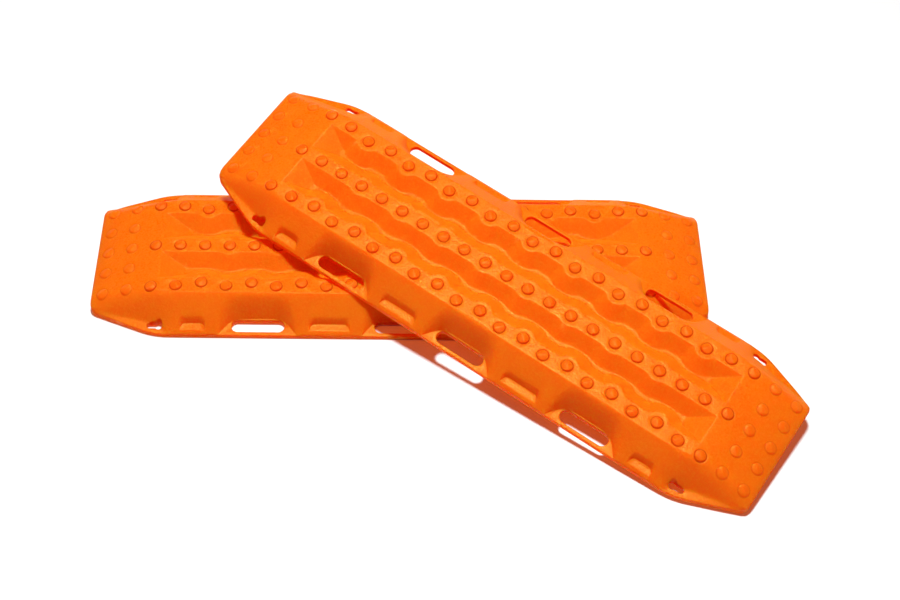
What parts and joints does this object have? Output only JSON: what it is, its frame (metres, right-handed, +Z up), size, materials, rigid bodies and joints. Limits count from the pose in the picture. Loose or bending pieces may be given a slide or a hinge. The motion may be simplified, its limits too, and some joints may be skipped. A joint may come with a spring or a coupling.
{
  "type": "pair of traction boards",
  "caption": "Pair of ribbed, studded recovery traction boards with handle slots and ramped ends, one laid diagonally across the other.",
  "frame": {"origin": "centre of the lower board's footprint, on the plane it lies on", "axes": "+X along the lower board, +Y across it to the rear, +Z up"},
  "size_m": [0.1299, 0.0834, 0.0193],
  "materials": {
    "board": "fine-grained moulded nylon, semi-matte"
  },
  "bodies": {
    "lower": {"lower_board": "board"},
    "upper": {"upper_board": "board"}
  },
  "joints": [
    {"name": "upper_lift", "type": "slide", "parent": "lower", "child": "upper", "axis": [0, 0, 1], "range_m": [0, 0.04]}
  ]
}
